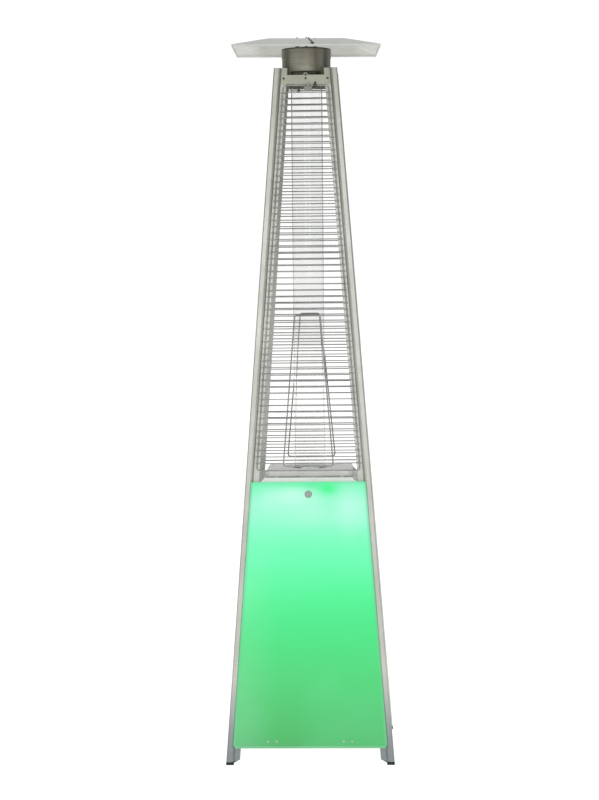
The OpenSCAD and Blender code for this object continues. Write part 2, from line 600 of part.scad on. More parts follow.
module door_hinge_leaves() color([0.7, 0.7, 0.7]) for (sx = [-1, 1]) difference() {
  union() {
    face(0) translate([sx * hinge_x - 20.25, panel_t / 2, pivot_s + 4]) cube([40.5, 1.3, 22]);
    face(0) translate([sx * hinge_x - 8, panel_t / 2, pivot_s]) cube([16, 1.3, 6]);
    knuckle(sx * hinge_x - 8, 16, hinge_y, hinge_z);
  }
  pin_hole(sx * hinge_x - 8, 16, hinge_y, hinge_z);
  face(0) for (d = [-13.25, 13.25]) vrod(sx * hinge_x + d, S(hinge_screw_z), -5, 8, 2.2);
}
module hinge_screws() color([0.7, 0.7, 0.7]) face(0) for (x = [-1, 1] * hinge_x, d = [-13.25, 13.25]) {
  pan_head(x + d, S(hinge_screw_z), -panel_t / 2, 6.5);
  vrod(x + d, S(hinge_screw_z), panel_t / 2 + 1.35, panel_t / 2 + 4, 3.4);
}
module door_knob() color([0.55, 0.6, 0.56]) face(0) translate([0, 0, S(knob_z)]) rotate([90, 0, 0]) {
  translate([0, 0, panel_t / 2]) rotate_extrude($fn = 64)
    polygon([[0, 0], [6, 0], [6, 2], [knob_d / 2 - 1.5, 3], [knob_d / 2, 4.5], [knob_d / 2, 9.5], [knob_d / 2 - 1, 10.5], [0, 10.5]]);
  translate([0, 0, -8]) cylinder(r = 2.5, h = 10);
}

post_front_left();
post_front_right();
post_rear_left();
post_rear_right();
feet();
base_plate();
fixed_hinge_leaves();
hinge_pins();
right_panel();
rear_panel();
left_panel();
panel_brackets();
panel_screws();
deck_plate();
burner_pan();
tube_seat();
quartz_tube();
main_burner();
pilot_burner();
igniter_electrode();
thermocouple();
gas_valve();
main_gas_pipe();
inlet_fitting();
control_plate();
igniter_body();
led_driver();
led_switch_case();
led_bars();
led_modules();
tilt_switch();
guard_front();
guard_right();
guard_rear();
guard_left();
guard_clips();
thumb_screws();
bracket_front();
bracket_right();
bracket_rear();
bracket_left();
bracket_screws();
top_plate();
flue_collar();
collar_band();
hood_spider();
hood_studs();
reflector_hood();
wing_nuts();
catch_magnet();
door_panel();
door_bottom_trim();
door_top_rail();
door_hinge_leaves();
hinge_screws();
door_knob();
valve_spindle();
control_knob();
igniter_button();
led_rocker();
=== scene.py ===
import json
import math
import bmesh
import bpy
from mathutils import Matrix, Vector


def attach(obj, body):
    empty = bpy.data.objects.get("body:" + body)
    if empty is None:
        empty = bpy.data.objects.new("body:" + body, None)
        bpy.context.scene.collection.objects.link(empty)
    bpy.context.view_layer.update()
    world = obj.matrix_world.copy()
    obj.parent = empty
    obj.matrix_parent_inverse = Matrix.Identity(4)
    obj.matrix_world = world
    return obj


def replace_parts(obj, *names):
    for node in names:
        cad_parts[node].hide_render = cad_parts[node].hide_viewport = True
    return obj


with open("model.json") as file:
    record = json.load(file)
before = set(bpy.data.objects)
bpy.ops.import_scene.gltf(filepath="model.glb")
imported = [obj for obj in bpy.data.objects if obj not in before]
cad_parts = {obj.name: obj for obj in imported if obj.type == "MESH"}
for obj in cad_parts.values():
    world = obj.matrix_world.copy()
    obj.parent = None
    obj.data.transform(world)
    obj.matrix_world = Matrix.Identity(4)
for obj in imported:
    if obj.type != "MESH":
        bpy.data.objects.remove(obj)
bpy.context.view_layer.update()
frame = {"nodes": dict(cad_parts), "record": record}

N = frame["nodes"]
MM = 0.001

# ------------------------------------------------------------------ dimensions, as in the CAD (mm)
HB = 265.0
POST_H = 2186.0
T = (530.0 - 200.0) / 2 / POST_H
LEAN = math.atan(T)
CL = math.cos(LEAN)
SL = math.sin(LEAN)
FOOT = 5.0


def hp(z):
    return HB - T * z


def S(z):
    return z / CL


def W(s):
    return HB - T * s * CL


def on_face(k, x, v, s):
    """A point of face k: x across, v inward, s up the lean. Returns metres in the row frame."""
    y, z = v, s
    y2 = y * CL + z * SL
    z2 = -y * SL + z * CL
    p = Vector((x, y2 - HB, z2))
    return (Matrix.Rotation(math.radians(90 * k), 3, "Z") @ p) * MM


# ------------------------------------------------------------------ node helpers
def lin(c):
    return tuple(((v / 255) / 12.92 if v / 255 <= 0.04045 else ((v / 255 + 0.055) / 1.055) ** 2.4) for v in c)


class G:
    """A material with a Principled shader, and short ways to add nodes to it."""

    def __init__(self, name):
        self.m = bpy.data.materials.new(name)
        self.m.use_nodes = True
        self.nt = self.m.node_tree
        self.b = next(n for n in self.nt.nodes if n.type == "BSDF_PRINCIPLED")
        self.out = next(n for n in self.nt.nodes if n.type == "OUTPUT_MATERIAL")
        self.tc = self.nt.nodes.new("ShaderNodeTexCoord")

    def new(self, kind, **kw):
        n = self.nt.nodes.new(kind)
        for k, v in kw.items():
            setattr(n, k, v)
        return n

    def link(self, a, b):
        self.nt.links.new(a, b)

    def put(self, sock, v):
        if hasattr(v, "links") or hasattr(v, "is_linked"):
            self.link(v, sock)
        else:
            sock.default_value = v

    def set(self, **kw):
        for k, v in kw.items():
            self.put(self.b.inputs[k.replace("_", " ")], v)

    def map(self, scale=(1, 1, 1), rot=(0, 0, 0), loc=(0, 0, 0)):
        n = self.new("ShaderNodeMapping")
        self.link(self.tc.outputs["Object"], n.inputs["Vector"])
        n.inputs["Scale"].default_value = scale
        n.inputs["Rotation"].default_value = rot
        n.inputs["Location"].default_value = loc
        return n.outputs["Vector"]

    def noise(self, scale, detail=3.0, rough=0.5, vec=None, dist=0.0):
        n = self.new("ShaderNodeTexNoise")
        self.link(vec if vec is not None else self.tc.outputs["Object"], n.inputs["Vector"])
        n.inputs["Scale"].default_value = scale
        n.inputs["Detail"].default_value = detail
        n.inputs["Roughness"].default_value = rough
        n.inputs["Distortion"].default_value = dist
        return n.outputs["Fac"]

    def voro(self, scale, vec=None, feature="F1"):
        n = self.new("ShaderNodeTexVoronoi", feature=feature)
        self.link(vec if vec is not None else self.tc.outputs["Object"], n.inputs["Vector"])
        n.inputs["Scale"].default_value = scale
        return n.outputs["Distance"]

    def math(self, op, a, b=0.0, c=None, clamp=False):
        n = self.new("ShaderNodeMath", operation=op, use_clamp=clamp)
        self.put(n.inputs[0], a)
        self.put(n.inputs[1], b)
        if c is not None:
            self.put(n.inputs[2], c)
        return n.outputs[0]

    def rng(self, v, a, b, c=0.0, d=1.0, smooth=False):
        n = self.new("ShaderNodeMapRange", interpolation_type="SMOOTHSTEP" if smooth else "LINEAR")
        self.put(n.inputs["Value"], v)
        n.inputs["From Min"].default_value = a
        n.inputs["From Max"].default_value = b
        n.inputs["To Min"].default_value = c
        n.inputs["To Max"].default_value = d
        return n.outputs["Result"]

    def ramp(self, fac, stops, interp="LINEAR"):
        n = self.new("ShaderNodeValToRGB")
        r = n.color_ramp
        r.interpolation = interp
        while len(r.elements) < len(stops):
            r.elements.new(1.0)
        for e, (p, c) in zip(r.elements, stops):
            e.position = p
            e.color = (*c, 1.0) if len(c) == 3 else c
        self.put(n.inputs["Fac"], fac)
        return n.outputs["Color"]

    def mix(self, fac, a, b, blend="MIX"):
        n = self.new("ShaderNodeMix", data_type="RGBA", blend_type=blend)
        self.put(n.inputs[0], fac)
        for s, v in ((n.inputs[6], a), (n.inputs[7], b)):
            if isinstance(v, tuple):
                s.default_value = (*v, 1.0) if len(v) == 3 else v
            else:
                self.link(v, s)
        return n.outputs[2]

    def xyz(self):
        n = self.new("ShaderNodeSeparateXYZ")
        self.link(self.tc.outputs["Object"], n.inputs[0])
        return n.outputs[0], n.outputs[1], n.outputs[2]

    def bump(self, h, strength=0.1, dist=0.001, normal=None):
        n = self.new("ShaderNodeBump")
        n.inputs["Strength"].default_value = strength
        n.inputs["Distance"].default_value = dist
        self.link(h, n.inputs["Height"])
        if normal is not None:
            self.link(normal, n.inputs["Normal"])
        return n.outputs["Normal"]


def painted(name, dark, light, metallic=0.5, rough=(0.3, 0.45), grain=1400, grain_strength=0.08, low_painted_shading=None, streak=None, spec=0.5, top_painted_shade=None, dip=False):
    """Satin powder coat or lacquered metal: a slow colour drift, fine grain in bump and roughness, and optional painted
    light and shade by height.
    """
    g = G(name)
    drift = g.noise(7.0, 4.0, 0.55)
    fine = g.noise(grain, 3.0, 0.6)
    col = g.mix(g.rng(drift, 0.3, 0.7), dark, light)
    col = g.mix(g.rng(fine, 0.35, 0.7, 0.0, 0.10), col, tuple(v * 0.7 for v in dark))
    if streak:
        st = g.noise(60.0, 4.0, 0.6, vec=g.map(scale=streak))
        col = g.mix(g.rng(st, 0.52, 0.75, 0.0, 0.18), col, tuple(v * 0.6 for v in dark))
    # painted light and shade towards the bottom: the colour near the floor is shifted to stand in for how light falls
    # there
    if low_painted_shading:
        _, _, z = g.xyz()
        col = g.mix(g.rng(z, low_painted_shading[0], low_painted_shading[1], 1.0, 0.0, True), col, low_painted_shading[2])
    # painted shade towards the top, where the hood keeps light off
    if top_painted_shade:
        _, _, z = g.xyz()
        col = g.mix(g.rng(z, top_painted_shade[0], top_painted_shade[1], 0.0, top_painted_shade[3], True), col, top_painted_shade[2])
    if dip:  # the cut end above the rubber foot is dark
        _, _, z = g.xyz()
        col = g.mix(g.rng(g.math("ADD", z, g.math("MULTIPLY", g.noise(30.0), 0.002)), 0.0098, 0.0112, 1.0, 0.0, True), col, (0.02, 0.02, 0.021))
    g.set(Base_Color=col, Metallic=metallic)
    g.set(Roughness=g.rng(g.noise(25.0, 3.0, 0.6), 0.3, 0.7, rough[0], rough[1]))
    g.b.inputs["Specular IOR Level"].default_value = spec
    g.set(Normal=g.bump(fine, grain_strength, 0.0003))
    return g.m


def brushed(name, dark, light, axis_scale, rough=(0.25, 0.4), metallic=1.0, stain=None, strength=0.12, dense=1.0):
    """Brushed or turned metal: long thin streaks in colour, roughness and bump, and blotchy heat tint."""
    g = G(name)
    lines = g.noise(260.0 * dense, 4.0, 0.65, vec=g.map(scale=axis_scale))
    blotch = g.noise(22.0, 4.0, 0.6)
    col = g.mix(g.rng(lines, 0.3, 0.72), dark, light)
    if stain:
        col = g.mix(g.rng(blotch, 0.42, 0.68, 0.0, 0.75), col, stain)
    g.set(Base_Color=col, Metallic=metallic)
    g.set(Roughness=g.math("ADD", g.rng(lines, 0.3, 0.7, rough[0], rough[1]), g.rng(blotch, 0.3, 0.7, -0.03, 0.06)))
    g.set(Normal=g.bump(lines, strength, 0.0004))
    return g.m


# ------------------------------------------------------------------ materials
MAT = {}
# front posts: painted shade, darker and bluer towards the floor and darker towards the top under the hood
MAT["post_metal"] = painted("post_metal", lin((176, 177, 169)), lin((196, 197, 190)), metallic=0.72, rough=(0.34, 0.44),
                            low_painted_shading=(0.02, 0.32, lin((134, 139, 142))), streak=(9.0, 9.0, 0.35),
                            top_painted_shade=(1.7, 2.18, lin((150, 151, 141)), 0.6), dip=True)
# rear posts: a darker copy of the post colour as painted shade, painted lighter towards the bottom
MAT["post_rear_painted_shading"] = painted("post_metal_rear_painted_shading", lin((148, 149, 141)), lin((168, 169, 161)), metallic=0.6, rough=(0.36, 0.46),
                            low_painted_shading=(1.0, 2.0, lin((206, 207, 203))), streak=(9.0, 9.0, 0.35), dip=True)
g = G("foot_rubber")
g.set(Base_Color=g.mix(g.rng(g.noise(90.0), 0.3, 0.7), (0.012, 0.012, 0.012), (0.03, 0.03, 0.03)), Roughness=0.7,
      Normal=g.bump(g.noise(1800.0), 0.2, 0.0003))
MAT["foot_rubber"] = g.m
MAT["base_steel"] = painted("base_steel", lin((140, 142, 142)), lin((166, 168, 167)), metallic=0.6, rough=(0.35, 0.5))
MAT["hinge_steel"] = brushed("hinge_steel", (0.33, 0.34, 0.34), (0.5, 0.5, 0.5), (0.2, 1.0, 1.0), rough=(0.25, 0.4), strength=0.06)
MAT["knob_metal"] = brushed("knob_metal", lin((128, 138, 130)), lin((158, 166, 158)), (1.0, 0.2, 1.0), rough=(0.3, 0.42), metallic=0.8, strength=0.05)
MAT["door_trim"] = painted("door_trim", lin((100, 162, 122)), lin((116, 180, 138)), metallic=0.15, rough=(0.35, 0.5))
# painted light: the trim gets a small green glow, standing in for light from the lit panels beside it
trim_painted_glow_bsdf = next(n for n in MAT["door_trim"].node_tree.nodes if n.type == "BSDF_PRINCIPLED")
trim_painted_glow_bsdf.inputs["Emission Color"].default_value = (*lin((84, 178, 108)), 1)
trim_painted_glow_bsdf.inputs["Emission Strength"].default_value = 0.30
MAT["deck_metal"] = painted("deck_metal", lin((196, 202, 196)), lin((214, 219, 213)), metallic=0.35, rough=(0.32, 0.46), streak=(0.6, 9.0, 9.0))
MAT["pan_metal"] = brushed("pan_metal", lin((214, 215, 212)), lin((236, 237, 234)), (0.08, 1.0, 1.0), rough=(0.38, 0.5), metallic=0.15, stain=lin((216, 214, 208)), strength=0.06)
# painted light: a small white glow in the pan and deck colours
for nm, painted_glow in (("pan_metal", 0.13), ("deck_metal", 0.05)):  # light bounced off the white surroundings
    pb = next(n for n in MAT[nm].node_tree.nodes if n.type == "BSDF_PRINCIPLED")
    pb.inputs["Emission Color"].default_value = (0.96, 0.97, 0.96, 1)
    pb.inputs["Emission Strength"].default_value = painted_glow
MAT["spindle_steel"] = brushed("spindle_steel", (0.4, 0.4, 0.41), (0.62, 0.62, 0.63), (1.0, 0.05, 1.0), rough=(0.2, 0.3))
MAT["collar_steel"] = None  # made below
MAT["bracket_metal"] = painted("bracket_metal", lin((142, 143, 130)), lin((162, 163, 149)), metallic=0.55, rough=(0.34, 0.5), grain=900, streak=(8, 8, 0.6))
MAT["stud_steel"] = brushed("stud_steel", (0.3, 0.3, 0.3), (0.5, 0.5, 0.49), (1.0, 1.0, 0.1), rough=(0.28, 0.4), strength=0.08)
MAT["guard_wire"] = painted("guard_wire", lin((132, 134, 132)), lin((170, 172, 169)), metallic=0.75, rough=(0.28, 0.42), grain=2600, grain_strength=0.05)
MAT["clip_metal"] = painted("clip_metal", lin((122, 125, 116)), lin((146, 149, 139)), metallic=0.5, rough=(0.4, 0.55), grain=2200)
g = G("hook_dark")
x, y, z = g.xyz()
fine = g.noise(2200.0, 3.0, 0.6)
col = g.mix(g.rng(g.noise(30.0, 4.0), 0.3, 0.7), lin((38, 40, 38)), lin((64, 66, 62)))
col = g.mix(g.math("MULTIPLY", g.rng(y, 0.0, 0.05), g.rng(z, 2.2, 2.21, 1.0, 0.0)), col, g.mix(g.rng(fine, 0.3, 0.7), lin((120, 122, 116)), lin((150, 152, 146))))
g.set(Base_Color=col, Metallic=0.5, Roughness=g.rng(g.noise(60.0), 0.3, 0.7, 0.35, 0.5), Normal=g.bump(fine, 0.08, 0.0003))
MAT["hook_dark"] = g.m
g = G("hood_metal")
x, y, z = g.xyz()
drift = g.noise(7.0, 4.0, 0.55)
fine = g.noise(700.0, 3.0, 0.6)
brush = g.noise(60.0, 4.0, 0.6, vec=g.map(scale=(0.8, 6.0, 6.0)))
col = g.mix(g.rng(drift, 0.3, 0.7), lin((200, 204, 199)), lin((210, 213, 208)))
col = g.mix(g.rng(fine, 0.35, 0.7, 0.0, 0.08), col, lin((150, 152, 147)))
col = g.mix(g.rng(brush, 0.52, 0.75, 0.0, 0.14), col, lin((160, 162, 154)))
geo = g.new("ShaderNodeNewGeometry")
sg = g.new("ShaderNodeSeparateXYZ")
g.link(geo.outputs["Normal"], sg.inputs[0])
# painted shade on the hood's underside (faces turned down), painted lighter towards the ends where the side slopes'
# undersides catch the light
underside_shade_mask = g.rng(sg.outputs[2], -0.1, -0.5, 0.0, 1.0, True)
ends_painted_light = g.rng(g.math("ADD", g.math("ABSOLUTE", x), g.math("MULTIPLY", g.noise(6.0), 0.03)), 0.155, 0.205, 0.0, 1.0, True)
underside_painted_shading = g.mix(ends_painted_light, lin((158, 157, 148)), lin((182, 182, 175)))
col = g.mix(g.math("MULTIPLY", underside_shade_mask, 0.72), col, underside_painted_shading)
hem_shading_mask = g.rng(g.math("ABSOLUTE", sg.outputs[2]), 0.14, 0.05, 0.0, 0.5, True)
# painted shade on the front hem faces and painted light on the rear hem faces
col = g.mix(g.math("MULTIPLY", hem_shading_mask, g.rng(y, 0.0, 0.05, 1.0, 0.0)), col, lin((150, 152, 147)))
col = g.mix(g.math("MULTIPLY", hem_shading_mask, g.rng(y, 0.19, 0.21, 0.0, 1.8)), col, lin((238, 239, 236)))
g.set(Base_Color=col, Metallic=0.45, Roughness=g.rng(g.noise(25.0, 3.0, 0.6), 0.3, 0.7, 0.38, 0.52), Normal=g.bump(fine, 0.05, 0.0003))
MAT["hood_metal"] = g.m
MAT["brass"] = brushed("brass", (0.5, 0.36, 0.12), (0.72, 0.55, 0.22), (1, 1, 0.1), rough=(0.22, 0.36), strength=0.05)
MAT["copper"] = brushed("copper", (0.34, 0.2, 0.12), (0.5, 0.34, 0.24), (1, 1, 0.1), rough=(0.25, 0.4), strength=0.05)
MAT["valve_cast"] = painted("valve_cast", lin((150, 150, 150)), lin((180, 180, 180)), metallic=0.85, rough=(0.4, 0.6), grain=600, grain_strength=0.3)
g = G("seat_ceramic")
g.set(Base_Color=g.mix(g.rng(g.noise(60.0, 5.0), 0.35, 0.7), lin((206, 200, 186)), lin((228, 224, 214))), Roughness=0.85,
      Normal=g.bump(g.noise(900.0, 5.0, 0.7), 0.35, 0.0006))
MAT["seat_ceramic"] = g.m
g = G("black_plastic")
g.set(Base_Color=g.mix(g.rng(g.noise(40.0), 0.35, 0.7), (0.012, 0.012, 0.013), (0.028, 0.028, 0.03)),
      Roughness=g.rng(g.noise(500.0), 0.3, 0.7, 0.4, 0.55), Normal=g.bump(g.voro(1500.0), 0.15, 0.0003))
MAT["black_plastic"] = g.m
g = G("button_red")
g.set(Base_Color=g.mix(g.rng(g.noise(50.0), 0.35, 0.7), (0.34, 0.012, 0.01), (0.46, 0.02, 0.016)),
      Roughness=g.rng(g.noise(300.0), 0.3, 0.7, 0.22, 0.34), Normal=g.bump(g.noise(1200.0), 0.05, 0.0003))
MAT["button_red"] = g.m
g = G("led_module")
lens = g.rng(g.voro(60.0), 0.0, 0.5, 1.0, 0.35)
g.set(Base_Color=(0.75, 0.95, 0.8, 1), Roughness=0.35, Emission_Color=g.mix(lens, (0.2, 0.9, 0.5), (0.7, 1.0, 0.85)))
g.b.inputs["Emission Strength"].default_value = 2.0
g.set(Normal=g.bump(g.noise(700.0), 0.1, 0.0004))
MAT["led_module"] = g.m

# turned steel of the collar: fine horizontal brushing, vertical bands of painted reflection and wear, blotchy brown
# heat tint, and darker brown towards the hood
g = G("collar_steel")
x, y, z = g.xyz()
lines = g.noise(330.0, 4.0, 0.65, vec=g.map(scale=(0.05, 0.05, 1.0)))
blotch = g.noise(26.0, 4.0, 0.6)
wob = g.math("MULTIPLY", g.math("SUBTRACT", g.noise(9.0, 3.0, 0.5), 0.5), 0.02)
ux = g.rng(g.math("ADD", x, wob), -0.083, 0.083)
# painted reflection and wear: brightness bands fixed across the collar's width
bands_painted_reflection_and_wear = g.ramp(ux, [(0.0, (0.34, 0.34, 0.30)), (0.05, (0.26, 0.255, 0.205)), (0.11, (0.105, 0.10, 0.077)), (0.16, (0.12, 0.118, 0.09)), (0.23, (0.31, 0.30, 0.245)),
                    (0.30, (0.34, 0.335, 0.27)), (0.52, (0.31, 0.305, 0.245)), (0.63, (0.22, 0.21, 0.165)), (0.69, (0.135, 0.128, 0.10)), (0.76, (0.20, 0.192, 0.155)),
                    (0.82, (0.215, 0.21, 0.17)), (0.86, (0.07, 0.068, 0.052)), (0.90, (0.065, 0.064, 0.052)), (0.95, (0.17, 0.17, 0.14)), (1.0, (0.26, 0.26, 0.23))])
col = g.mix(g.rng(lines, 0.3, 0.72, 0.0, 0.30), bands_painted_reflection_and_wear, (0.08, 0.077, 0.058))
col = g.mix(g.rng(blotch, 0.42, 0.68, 0.0, 0.35), col, (0.15, 0.14, 0.095))
col = g.mix(g.rng(z, 2.205, 2.25, 0.0, 0.42, True), col, (0.11, 0.104, 0.072))
# painted shadow: a nearly black ring where the collar meets the hood
col = g.mix(g.rng(z, 2.2472, 2.2505, 0.0, 0.9, True), col, (0.022, 0.021, 0.015))
g.set(Base_Color=col, Metallic=0.35, Normal=g.bump(lines, 0.22, 0.0004))
g.set(Roughness=g.math("ADD", g.rng(lines, 0.3, 0.7, 0.42, 0.56), g.rng(blotch, 0.3, 0.7, -0.03, 0.06)))
MAT["collar_steel"] = g.m

g = G("plate_painted_light_and_shade")
x, y, z = g.xyz()
brush = g.noise(200.0, 4.0, 0.6, vec=g.map(scale=(0.08, 0.08, 1.0)))
col = g.mix(g.rng(brush, 0.3, 0.7), lin((214, 216, 211)), lin((236, 237, 233)))
# painted shade: everything above the skirt's top edge is dark
col = g.mix(g.rng(z, 2.1615, 2.1635, 0.0, 1.0, True), col, lin((92, 92, 78)))
g.set(Base_Color=col, Metallic=0.1, Roughness=g.rng(g.noise(30.0), 0.3, 0.7, 0.45, 0.6), Normal=g.bump(brush, 0.08, 0.0003))
# painted light: a small glow in the skirt colour
g.set(Emission_Color=col)
g.b.inputs["Emission Strength"].default_value = 0.06
MAT["plate_painted_light_and_shade"] = g.m

# clear quartz, with the faint haze and vertical drawing lines of a fired tube
g = G("quartz")
haze = g.noise(9.0, 4.0, 0.6)
lines = g.noise(120.0, 3.0, 0.6, vec=g.map(scale=(1.0, 1.0, 0.012)))
g.set(Base_Color=g.mix(g.rng(haze, 0.35, 0.7), (0.90, 0.905, 0.90), (0.94, 0.943, 0.935)))
g.b.inputs["Transmission Weight"].default_value = 1.0
g.b.inputs["IOR"].default_value = 1.2
g.set(Roughness=g.rng(haze, 0.3, 0.7, 0.0, 0.04), Normal=g.bump(lines, 0.03, 0.0006))
MAT["quartz"] = g.m


def panel_material(name, k):
    """Translucent acrylic lit from light strips along its top edge: bright pale pools below the strips,
    a saturated band at the very top, and a long fall to deeper green at the bottom."""
    g = G(name)
    x, y, z = g.xyz()
    across = {0: x, 1: y, 2: g.math("MULTIPLY", x, -1.0), 3: g.math("MULTIPLY", y, -1.0)}[k]
    half = g.math("SUBTRACT", 0.265 - 0.0186, g.math("MULTIPLY", z, T))
    u = g.math("DIVIDE", across, half)  # -1..1 across the panel
    f = g.rng(z, 0.0525, 0.8845)
    stops = [(0.0, (96, 154, 114)), (0.016, (86, 180, 106)), (0.04, (84, 184, 105)), (0.13, (85, 196, 112)), (0.26, (86, 212, 123)),
             (0.38, (80, 225, 131)), (0.46, (80, 233, 141)), (0.535, (84, 241, 150)), (0.60, (92, 248, 162)), (0.70, (108, 252, 181)),
             (0.76, (120, 253, 190)), (0.82, (138, 253, 203)), (0.87, (158, 253, 215)), (0.92, (164, 252, 218)), (0.955, (144, 251, 204)), (0.985, (122, 248, 186)), (1.0, (116, 226, 170))]
    col = g.ramp(f, [(p, lin(c)) for p, c in stops])

    def pool(u0, z0, ru, rz):
        du = g.math("DIVIDE", g.math("SUBTRACT", u, u0), ru)
        dz = g.math("DIVIDE", g.math("SUBTRACT", z, z0), rz)
        d2 = g.math("ADD", g.math("MULTIPLY", du, du), g.math("MULTIPLY", dz, dz))
        return g.math("POWER", 2.718, g.math("MULTIPLY", d2, -1.0))

    # pale pools
    col = g.mix(g.math("MULTIPLY", pool(-0.28, 0.842, 0.42, 0.028), 0.75, clamp=True), col, lin((205, 255, 240)))
    col = g.mix(g.math("MULTIPLY", pool(-0.68, 0.825, 0.18, 0.04), 0.35, clamp=True), col, lin((190, 255, 234)))
    col = g.mix(g.math("MULTIPLY", pool(0.08, 0.79, 0.34, 0.045), 0.35, clamp=True), col, lin((196, 255, 234)))
    col = g.mix(g.math("MULTIPLY", pool(0.70, 0.805, 0.24, 0.065), 0.6, clamp=True), col, lin((196, 252, 236)))
    # shaded, saturated places under the strip ends
    col = g.mix(g.math("MULTIPLY", pool(0.33, 0.864, 0.17, 0.020), 0.95, clamp=True), col, lin((70, 248, 145)))
    col = g.mix(g.math("MULTIPLY", pool(0.36, 0.82, 0.14, 0.03), 0.35, clamp=True), col, lin((130, 252, 196)))
    col = g.mix(g.math("MULTIPLY", pool(-0.25, 0.876, 0.5, 0.007), 0.55, clamp=True), col, lin((110, 248, 175)))
    col = g.mix(g.math("MULTIPLY", pool(0.08, 0.874, 0.15, 0.009), 0.65, clamp=True), col, lin((92, 240, 162)))
    # right side a little deeper lower down, left a little greyer
    side = g.math("MULTIPLY", g.rng(u, -0.9, 1.0, 0.0, 1.0), g.rng(z, 0.6, 0.3, 0.0, 1.0))
    col = g.mix(g.math("MULTIPLY", side, 0.55, clamp=True), col, g.mix(g.rng(z, 0.06, 0.5), lin((82, 190, 108)), lin((76, 240, 140))))
    pale = g.math("MULTIPLY", g.rng(u, -0.35, -1.0, 0.0, 1.0, True), g.rng(z, 0.75, 0.55, 0.0, 0.16))
    col = g.mix(pale, col, lin((168, 238, 196)))
    # the frame behind shows as a dimmer border
    edge = g.rng(g.math("ABSOLUTE", u), 0.945, 1.0, 0.0, 1.0, True)
    col = g.mix(g.math("MULTIPLY", edge, 0.55), col, lin((120, 196, 150)))
    # slow mottling of the diffusing sheet
    col = g.mix(g.rng(g.noise(9.0, 4.0, 0.6), 0.4, 0.75, 0.0, 0.10), col, lin((86, 226, 140)))
    col = g.mix(g.rng(g.noise(3.2, 3.0, 0.5), 0.45, 0.75, 0.0, 0.12), col, lin((160, 255, 215)))
    g.set(Base_Color=g.mix(0.92, col, (0.01, 0.03, 0.015)), Emission_Color=col)
    g.b.inputs["Emission Strength"].default_value = 0.90
    g.b.inputs["Specular IOR Level"].default_value = 0.12
    g.set(Roughness=g.rng(g.noise(30.0, 4.0), 0.3, 0.7, 0.34, 0.44), Normal=g.bump(g.noise(420.0, 3.0), 0.05, 0.0005))
    return g.m


PANELS = {"door_panel": 0, "right_panel": 1, "rear_panel": 2, "left_panel": 3}

slot_of = {s["node"]: s["material_slot"] for s in frame["record"]["subparts"]}
for name, ob in N.items():
    mat = panel_material("lit_" + name, PANELS[name]) if name in PANELS else MAT[slot_of[name]]
    if name in ("thumb_screws", "bracket_screws"):  # blackened fasteners
        mat = MAT["hook_dark"]
    if name == "top_plate":  # its skirt is painted light with a bright colour and a small glow, and its top is painted dark as shade
        mat = MAT["plate_painted_light_and_shade"]
    if not ob.data.materials:
        ob.data.materials.append(mat)
    for i in range(len(ob.data.materials)):
        ob.data.materials[i] = mat
    ob.data.shade_smooth() if hasattr(ob.data, "shade_smooth") else None


# ------------------------------------------------------------------ mesh helpers
def make(name, verts, faces, mat, slot, body="frame", replaces=(), smooth_angle=40, bevel=None):
    me = bpy.data.meshes.new(name)
    me.from_pydata([tuple(v) for v in verts], [], faces)
    me.validate()
    bm = bmesh.new()
    bm.from_mesh(me)
    bmesh.ops.recalc_face_normals(bm, faces=bm.faces)
    bm.to_mesh(me)
    bm.free()
    ob = bpy.data.objects.new(name, me)
    bpy.context.scene.collection.objects.link(ob)
    me.materials.append(mat)
    if bevel:
        b = ob.modifiers.new("edge", "BEVEL")
        b.width = bevel[0] * MM
        b.segments = bevel[1]
        b.limit_method = "ANGLE"
        b.angle_limit = math.radians(bevel[2] if len(bevel) > 2 else 30)
        b.harden_normals = False
    with bpy.context.temp_override(object=ob, active_object=ob, selected_objects=[ob], selected_editable_objects=[ob]):
        bpy.ops.object.shade_smooth_by_angle(angle=math.radians(smooth_angle))
    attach(ob, body)
    if replaces:
        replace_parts(ob, *replaces)
    return ob


class Mesh:
    def __init__(self):
        self.v, self.f = [], []

    def add(self, verts, faces):
        o = len(self.v)
        self.v += list(verts)
        self.f += [tuple(i + o for i in f) for f in faces]

    def tube(self, pts, r, sides=10, closed=False, cap=True):
        """A round wire along points (metres), r in metres."""
        n = len(pts)
        rings = []
        prev = None
        for i in range(n):
            a = pts[(i - 1) % n] if closed or i > 0 else pts[i]
            b = pts[(i + 1) % n] if closed or i < n - 1 else pts[i]
            t = (b - a).normalized()
            if prev is None:
                u = t.orthogonal().normalized()
            else:
                u = (prev - t * prev.dot(t)).normalized()
            prev = u
            w = t.cross(u)
            rings.append([pts[i] + (u * math.cos(q) + w * math.sin(q)) * r for q in (2 * math.pi * j / sides for j in range(sides))])
        verts = [p for ring in rings for p in ring]
        faces = []
        m = n if closed else n - 1
        for i in range(m):
            k = (i + 1) % n
            shift = 0
            if closed and k == 0:
                shift = min(range(sides), key=lambda s: sum((rings[i][j] - rings[0][(j + s) % sides]).length for j in range(sides)))
            for j in range(sides):
                faces.append((i * sides + j, i * sides + (j + 1) % sides, k * sides + (j + 1 + shift) % sides, k * sides + (j + shift) % sides))
        if cap and not closed:
            faces.append(tuple(range(sides))[::-1])
            faces.append(tuple((n - 1) * sides + j for j in range(sides)))
        self.add(verts, faces)

    def object(self, *a, **k):
        return make(a[0], self.v, self.f, *a[1:], **k)


